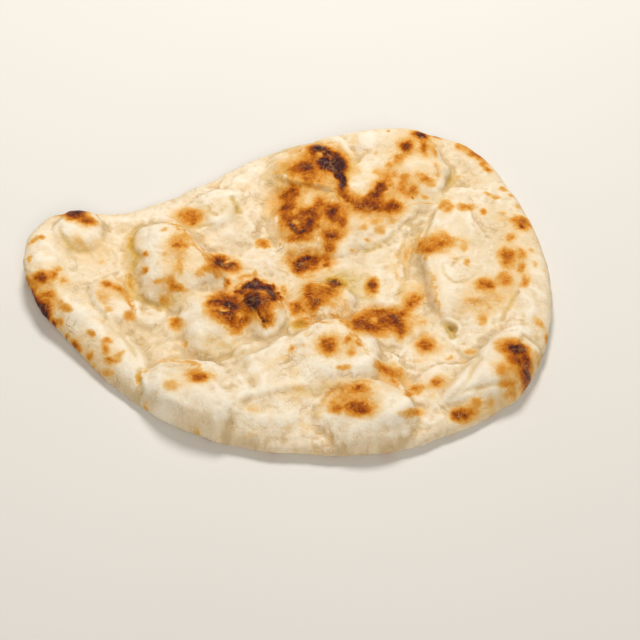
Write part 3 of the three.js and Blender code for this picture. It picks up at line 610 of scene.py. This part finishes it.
warp_x = X + ragged(X, Y, 41)
warp_y = SEEN + ragged(X, Y, 45)
SPOTTED = marks(SPOTS, warp_x, warp_y)
for points, width, strength in SEARS:
    near, across, fade = across_line(2 * warp_x - X, 2 * warp_y - SEEN, points, 3 * width)
    SPOTTED[near] = np.maximum(SPOTTED[near], strength * np.exp(-((across / width) ** 4)) * fade**0.3)
PALE = marks(PALE_HOLES, warp_x, warp_y)
SPOTTED = SPOTTED * (1 - PALE)
GLOWING = marks(GLOWS, X + 5 * noise(X, Y, 9, 48), SEEN + 5 * noise(X, Y, 9, 49))
HALO = 1 - (1 - 0.48 * blurred(SPOTTED, 2.0)) * (1 - 0.25 * blurred(SPOTTED, 5.0)) * (1 - 0.9 * GLOWING)
SCORCHED = 0.9 * smoothstep(3.2, 0.2, INSET) * smoothstep(0.9, 0.2, np.hypot((X + 118) / 60, (Y + 32) / 66))
SCORCHED = SCORCHED * smoothstep(-0.9, 0.3, noise(X, Y, 14, 55) + 0.5 * noise(X, Y, 4, 56))
TOAST = np.clip(np.cbrt(SPOTTED**3 + HALO**3 + SCORCHED**3), 0, 1) * (1 - 0.6 * PALE)
# butter's olive tint and the fat in creases, which also stand for painted shade in valleys and the torn
# blister's hole; the same field makes the crust glossier
OIL_AND_SHADE = np.clip(marks(BUTTER_AND_SHADE, warp_x, warp_y) + POOLED_FAT_AND_SHADE, 0, 1)
OIL_AND_SHADE = OIL_AND_SHADE * (1 - smoothstep(0.5, 0.8, TOAST))
# flour dust, whiter on raised places: partly real flour, partly painted highlight
FLOUR_AND_HIGHLIGHT = smoothstep(-0.4, 0.9, noise(X, Y, 20, 51) + 0.5 * noise(X, Y, 7, 52) - 0.8 * CAVITY)


def underside_toast():
    """The face that stuck to the oven wall: many small even spots, and none of the top's blisters."""
    random = np.random.default_rng(61)
    spots = []
    for _ in range(420):
        half = random.uniform(1.2, 3.6)
        spots.append((
            random.uniform(-145, 145), random.uniform(-116, 106), half, half * random.uniform(0.6, 1),
            random.uniform(0, 180), random.uniform(0.3, 0.72),
        ))
    return marks(spots, X + ragged(X, Y, 71), Y + ragged(X, Y, 75))


UNDER_TOAST = np.maximum(underside_toast(), SCORCHED)
UNDER_RELIEF = 0.35 * noise(X, Y, 14, 64) + 0.15 * noise(X, Y, 4, 65)


# ---------------------------------------------------------------- mesh
def ring_places(corners, inset_share, inset):
    """Plan places of one ring: a share of the way from the edge's rounding to the middle, or an inset."""
    spots = np.arange(corners) / corners * OUTLINE_SAMPLES
    index = np.floor(spots).astype(int) % OUTLINE_SAMPLES
    reach = rim_reach[index]
    direction = rim_angle[index]
    if inset is None:
        depth = EDGE_ROUNDING + (reach - EDGE_ROUNDING) * inset_share
    else:
        depth = np.full(corners, inset)
    return (reach - depth) * np.cos(direction), (reach - depth) * np.sin(direction), depth


def face_rings(ring_count):
    """Rings of one face from the middle out to, but not including, the outline."""
    rings = [ring_places(max(1, CORNERS_PER_RING * k), 1 - k / ring_count, None) for k in range(ring_count)]
    for k in range(EDGE_RINGS):
        inset = EDGE_ROUNDING * (1 - math.sin(k / EDGE_RINGS * math.pi / 2))
        rings.append(ring_places(CORNERS_PER_RING * TOP_RINGS, None, inset))
    return rings


def join_rings(inner, outer):
    """Triangles between two rings of vertex numbers, wound so that the outline's direction faces down."""
    triangles = []
    i = o = 0
    while i < len(inner) or o < len(outer):
        outer_next = (o + 0.5) / len(outer) <= (i + 0.5) / len(inner)
        a, b = inner[i % len(inner)], outer[o % len(outer)]
        if o < len(outer) and (outer_next or i == len(inner)):
            triangles.append((a, outer[(o + 1) % len(outer)], b))
            o += 1
        else:
            triangles.append((a, inner[(i + 1) % len(inner)], b))
            i += 1
    return [t for t in triangles if len(set(t)) == 3]


def bread_mesh():
    """The whole skin, with the browning as vertex attributes."""
    edge = ring_places(CORNERS_PER_RING * TOP_RINGS, None, 0.0)
    places, faces, face_is_top = [], [], []
    fields = {name: [] for name in ("toast", "oil_and_shade", "flour_and_highlight", "cavity")}
    count = 0

    def add_ring(ring, is_top):
        nonlocal count
        x, y, depth = ring
        bottom = on_grid(UNDER, x, y)
        middle = bottom + DOUGH_THICKNESS / 2
        face = on_grid(TOP, x, y) if is_top else bottom + np.maximum(0, on_grid(UNDER_RELIEF, x, y))
        rounding = np.sqrt(1 - (1 - np.clip(depth / EDGE_ROUNDING, 0, 1)) ** 2)
        places.append(np.stack([x, y, middle + (face - middle) * rounding], axis=1))
        fields["toast"].append(on_grid(TOAST if is_top else UNDER_TOAST, x, y))
        for name, field in (("oil_and_shade", OIL_AND_SHADE), ("flour_and_highlight", FLOUR_AND_HIGHLIGHT), ("cavity", CAVITY)):
            fields[name].append(on_grid(field, x, y) * (1 if is_top else 0))
        numbers = list(range(count, count + len(x)))
        count += len(x)
        return numbers

    rim = add_ring(edge, True)
    for is_top, ring_count in ((True, TOP_RINGS), (False, UNDER_RINGS)):
        rings = [add_ring(ring, is_top) for ring in face_rings(ring_count)] + [rim]
        for inner, outer in zip(rings, rings[1:]):
            for a, b, c in join_rings(inner, outer):
                faces.append((a, b, c) if is_top else (a, c, b))
                face_is_top.append(is_top)
    vertices = np.vstack(places)
    low, high = vertices.min(0), vertices.max(0)
    cad_middle = (CAD_LOW + CAD_HIGH) / 2
    vertices -= ((low[0] + high[0]) / 2, (low[1] + high[1]) / 2, low[2])
    vertices = vertices * MM + (cad_middle.x, cad_middle.y, CAD_LOW.z)
    mesh = bpy.data.meshes.new("naan_crust")
    mesh.from_pydata(vertices.tolist(), [], faces)
    mesh.polygons.foreach_set("use_smooth", [True] * len(faces))
    for name, parts in fields.items():
        layer = mesh.attributes.new(name, "FLOAT", "POINT")
        layer.data.foreach_set("value", np.concatenate(parts).astype(np.float32))
    lay_out_uv(mesh, vertices, np.array(faces), np.array(face_is_top))
    mesh.update()
    return mesh, (low[0] + high[0]) / 2, (low[1] + high[1]) / 2


def lay_out_uv(mesh, vertices, faces, face_is_top):
    """A flat map: the top large along the upper side, the underside small below it."""
    corners = vertices[faces.reshape(-1)][:, :2]
    corners = corners - vertices[:, :2].min(0)
    is_top = np.repeat(face_is_top, 3)[:, None]
    top_uv = corners * TOP_MAP_SCALE + (MAP_MARGIN, 1 - MAP_MARGIN - MAP_DEPTH * TOP_MAP_SCALE)
    under_uv = corners * UNDER_MAP_SCALE + (MAP_MARGIN, MAP_MARGIN)
    layer = mesh.uv_layers.new(name="OFBake")
    layer.data.foreach_set("uv", np.where(is_top, top_uv, under_uv).astype(np.float32).reshape(-1))


# ---------------------------------------------------------------- materials
def srgb(red, green, blue):
    """A colour given as on a screen, 0 to 255, as the shader's linear values."""
    shares = [value / 255 for value in (red, green, blue)]
    linear = [c / 12.92 if c <= 0.04045 else ((c + 0.055) / 1.055) ** 2.4 for c in shares]
    return (*linear, 1.0)


class Nodes:
    """Short calls for building a material's node tree."""

    def __init__(self, material):
        material.use_nodes = True
        self.tree = material.node_tree
        self.tree.nodes.clear()

    def add(self, kind, inputs=None, **settings):
        made = self.tree.nodes.new(kind)
        for name, value in settings.items():
            setattr(made, name, value)
        for name, value in (inputs or {}).items():
            if isinstance(value, bpy.types.NodeSocket):
                self.tree.links.new(value, made.inputs[name])
            else:
                made.inputs[name].default_value = value
        return made

    def field(self, name):
        return self.add("ShaderNodeAttribute", attribute_name=name).outputs["Fac"]

    def noise(self, size_mm, detail=3.0, roughness=0.55, distortion=0.0):
        coordinates = self.add("ShaderNodeTexCoord").outputs["Object"]
        inputs = {"Vector": coordinates, "Scale": 1000.0 / size_mm, "Detail": detail, "Roughness": roughness,
                  "Distortion": distortion}
        return self.add("ShaderNodeTexNoise", inputs).outputs["Fac"]

    def wrinkles(self, size_mm, detail=2.0):
        coordinates = self.add("ShaderNodeTexCoord").outputs["Object"]
        coarse = {"Vector": coordinates, "Scale": 400.0 / size_mm, "Detail": 1.0}
        sway = {0: self.add("ShaderNodeTexNoise", coarse).outputs["Color"], 3: size_mm * 0.0012}
        moved = self.add("ShaderNodeVectorMath", sway, operation="SCALE").outputs[0]
        moved = self.add("ShaderNodeVectorMath", {0: coordinates, 1: moved}, operation="ADD").outputs[0]
        fine = {"Vector": moved, "Scale": 1000.0 / size_mm, "Detail": detail}
        lines = self.add("ShaderNodeTexNoise", fine)
        away = self.math("ABSOLUTE", self.math("SUBTRACT", lines.outputs["Fac"], 0.5))
        return self.span(away, 0.0, 0.045, 1.0, 0.0)

    def math(self, operation, a, b=0.0, clamp=False):
        return self.add("ShaderNodeMath", {0: a, 1: b}, operation=operation, use_clamp=clamp).outputs[0]

    def span(self, value, low, high, to_low=0.0, to_high=1.0):
        inputs = {"Value": value, "From Min": low, "From Max": high, "To Min": to_low, "To Max": to_high}
        return self.add("ShaderNodeMapRange", inputs, interpolation_type="SMOOTHSTEP").outputs["Result"]

    def mix(self, share, a, b):
        return self.add("ShaderNodeMix", {0: share, 6: a, 7: b}, data_type="RGBA").outputs[2]

    def ramp(self, value, stops):
        made = self.add("ShaderNodeValToRGB", {0: value})
        elements = made.color_ramp.elements
        while len(elements) < len(stops):
            elements.new(0.5)
        for element, (position, colour) in zip(elements, stops):
            element.position, element.color = position, colour
        return made.outputs["Color"]


def crust_material():
    """Baked dough: floury cream, browned to char where the blisters met the heat, with butter in places;
    painted shade darkens hollows and creases, and painted highlights pale the raised places and the char.
    """
    material = bpy.data.materials.new("naan_crust")
    n = Nodes(material)
    toast, oil_and_shade, flour_and_highlight, cavity = (n.field(name) for name in ("toast", "oil_and_shade", "flour_and_highlight", "cavity"))

    broad = n.noise(26, 2)
    patchy = n.noise(7, 4, 0.6)
    fine = n.noise(1.6, 4, 0.6)
    grain = n.noise(0.5, 2, 0.6)
    low = n.span(cavity, -0.5, 0.5, 0.2, 1)
    wide_patches = n.math("MULTIPLY", low, n.span(n.noise(18, 2), 0.48, 0.62))
    creased = n.math("MULTIPLY", n.wrinkles(11), wide_patches)
    small_patches = n.math("MULTIPLY", low, n.span(n.noise(11, 2), 0.45, 0.6))
    fine_creased = n.math("MULTIPLY", n.wrinkles(5), small_patches)
    dough = n.mix(n.span(broad, 0.35, 0.65), srgb(233, 212, 176), srgb(247, 231, 204))
    golden = n.math("MULTIPLY", n.span(patchy, 0.46, 0.68, 0, 0.62), n.span(n.noise(24, 3), 0.42, 0.60))
    dough = n.mix(golden, dough, srgb(238, 196, 120))
    # flour, paler on raised places: partly painted highlight
    dough = n.mix(n.math("MULTIPLY", flour_and_highlight, 0.42), dough, srgb(251, 241, 222))
    dough = n.mix(n.span(fine, 0.35, 0.7, 0, 0.30), dough, srgb(222, 196, 154))
    # painted shade: the dough darker and greyer in hollows
    dough = n.mix(n.span(cavity, 0.1, 1.0, 0, 0.7), dough, srgb(202, 174, 128))
    # painted highlight: the dough near white on raised places
    dough = n.mix(n.span(cavity, -0.7, 0.1, 0.6, 0), dough, srgb(254, 246, 230))
    # golden-brown lines along wrinkles in the low places: partly the crust's own tone, partly painted shade
    # in those creases
    dough = n.mix(n.math("MULTIPLY", creased, 0.40), dough, srgb(206, 154, 76))
    dough = n.mix(n.math("MULTIPLY", fine_creased, 0.30), dough, srgb(210, 162, 88))

    ragged = n.math("MULTIPLY", n.math("SUBTRACT", fine, 0.5), n.span(toast, 0.08, 0.4, 0, 0.32))
    mottled = n.math("MULTIPLY", n.math("SUBTRACT", patchy, 0.5), n.span(toast, 0.12, 0.4, 0, 0.62))
    blotched = n.math("MULTIPLY", n.math("SUBTRACT", n.noise(13, 3), 0.5), n.span(toast, 0.1, 0.4, 0, 0.6))
    streaks = n.math("SUBTRACT", n.noise(3.4, 5, 0.7, 1.4), 0.5)
    streaked = n.math("MULTIPLY", streaks, n.span(toast, 0.2, 0.6, 0, 0.62))
    heat = n.math("ADD", n.math("ADD", toast, ragged), n.math("ADD", mottled, blotched))
    heat = n.math("ADD", heat, streaked, clamp=True)
    browned = n.ramp(heat, [
        (0.00, srgb(248, 228, 190)),
        (0.18, srgb(238, 202, 142)),
        (0.34, srgb(226, 170, 88)),
        (0.50, srgb(214, 136, 30)),
        (0.64, srgb(188, 102, 4)),
        (0.77, srgb(152, 70, 2)),
        (0.88, srgb(112, 44, 6)),
        (0.96, srgb(78, 28, 14)),
        (1.00, srgb(62, 22, 18)),
    ])
    colour = n.mix(n.span(heat, 0.04, 0.30), dough, browned)
    # painted highlights: pale lines over the browned crust standing for glints
    glint_lines = n.math("MULTIPLY", n.wrinkles(4.5, 3), n.span(n.noise(9, 2), 0.45, 0.6, 0, 0.30))
    glint_lines = n.math("MULTIPLY", glint_lines, n.span(heat, 0.45, 0.70))
    colour = n.mix(glint_lines, colour, srgb(238, 184, 98))
    # olive tint of butter, partly painted shade in valleys; where it lies thickest, the dark olive is painted
    # shade in the torn blister's hole and deep creases
    colour = n.mix(n.math("MULTIPLY", oil_and_shade, 0.75), colour, srgb(210, 174, 70))
    colour = n.mix(n.span(oil_and_shade, 0.85, 1.0), colour, srgb(122, 92, 22))
    # pale grey specks on the char: partly ash, partly painted highlights
    ash_and_glint_places = n.span(n.noise(2.4, 4, 0.65, 0.6), 0.50, 0.66)
    ash_and_glints = n.math("MULTIPLY", ash_and_glint_places, n.span(heat, 0.82, 0.97, 0, 0.38))
    colour = n.mix(ash_and_glints, colour, srgb(150, 106, 106))

    gloss = n.math("MULTIPLY", n.span(n.noise(5, 3), 0.42, 0.62), 0.16)
    roughness = n.math("SUBTRACT", n.span(oil_and_shade, 0, 1, 0.66, 0.40), gloss)
    roughness = n.math("SUBTRACT", roughness, n.span(heat, 0.35, 0.80, 0, 0.34))
    roughness = n.math("ADD", roughness, n.math("MULTIPLY", flour_and_highlight, 0.10))

    height = n.math("ADD", n.math("MULTIPLY", patchy, 0.5), n.math("MULTIPLY", fine, 0.35))
    height = n.math("ADD", height, n.math("MULTIPLY", grain, 0.10))
    height = n.math("SUBTRACT", height, n.math("MULTIPLY", creased, 0.30))
    height = n.math("SUBTRACT", height, n.math("MULTIPLY", fine_creased, 0.20))
    bubbled = n.math("MULTIPLY", n.noise(2.2, 4, 0.7, 0.8), n.span(heat, 0.45, 0.9, 0, 0.7))
    height = n.math("ADD", height, bubbled)
    bump = n.add("ShaderNodeBump", {"Height": height, "Strength": 0.8, "Distance": 0.0014})

    shader = n.add("ShaderNodeBsdfPrincipled", {
        "Base Color": colour, "Roughness": roughness, "Normal": bump.outputs[0],
        "Subsurface Weight": 0.10, "Subsurface Radius": (1.0, 0.5, 0.2), "Subsurface Scale": 0.0012,
        "Specular IOR Level": 0.20, "IOR": 1.42,
    })
    output = n.add("ShaderNodeOutputMaterial")
    n.tree.links.new(shader.outputs[0], output.inputs[0])
    return material


def floor_material():
    material = bpy.data.materials.new("floor")
    n = Nodes(material)
    tone = n.mix(n.noise(300, 2), srgb(226, 224, 220), srgb(232, 230, 226))
    shader = n.add("ShaderNodeBsdfPrincipled", {"Base Color": tone, "Roughness": 0.8})
    output = n.add("ShaderNodeOutputMaterial")
    n.tree.links.new(shader.outputs[0], output.inputs[0])
    return material


# ---------------------------------------------------------------- bread, floor, light and camera
mesh, middle_x, middle_y = bread_mesh()
bread = bpy.data.objects.new("naan_crust", mesh)
bpy.context.scene.collection.objects.link(bread)
mesh.materials.append(crust_material())
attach(bread, "root")
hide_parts("naan")

bpy.ops.mesh.primitive_plane_add(size=6, location=(0, 0, CAD_LOW.z))
floor = bpy.context.object
floor.name = "floor"
floor.data.materials.append(floor_material())


def add_light(name, kind, place, strength, colour, **settings):
    """A light at a place, aimed at the middle of the bread."""
    data = bpy.data.lights.new(name, kind)
    data.energy, data.color = strength, colour
    for key, value in settings.items():
        setattr(data, key, value)
    light = bpy.data.objects.new(name, data)
    light.location = place
    light.rotation_euler = (-Vector(place)).to_track_quat("-Z", "Y").to_euler()
    bpy.context.scene.collection.objects.link(light)


add_light("window", "AREA", (0.02, 0.66, 1.08), 11.2, (1.0, 0.965, 0.91), shape="DISK", size=0.40)
add_light("fill", "SUN", (0.2, -0.9, 0.95), 1.08, (1.0, 0.95, 0.87), angle=0.6)

world = bpy.data.worlds.new("studio")
bpy.context.scene.world = world
world.use_nodes = True
world.node_tree.nodes["Background"].inputs["Color"].default_value = (1.0, 0.965, 0.90, 1)
world.node_tree.nodes["Background"].inputs["Strength"].default_value = 0.25

TARGET = Vector(((SIGHT_TARGET[0] - middle_x) * MM, (SIGHT_TARGET[1] - middle_y) * MM, CAD_LOW.z))
elevation = math.radians(SIGHT_ELEVATION)
camera_data = bpy.data.cameras.new("camera")
camera_data.lens = LENS
camera_data.clip_start = 0.05
camera = bpy.data.objects.new("camera", camera_data)
towards_camera = Vector((0, -math.cos(elevation), math.sin(elevation)))
camera.location = TARGET + CAMERA_DISTANCE * MM * towards_camera
camera.rotation_euler = (math.pi / 2 - elevation, 0, 0)
bpy.context.scene.collection.objects.link(camera)
bpy.context.scene.camera = camera
bpy.context.scene.view_settings.view_transform = "Standard"
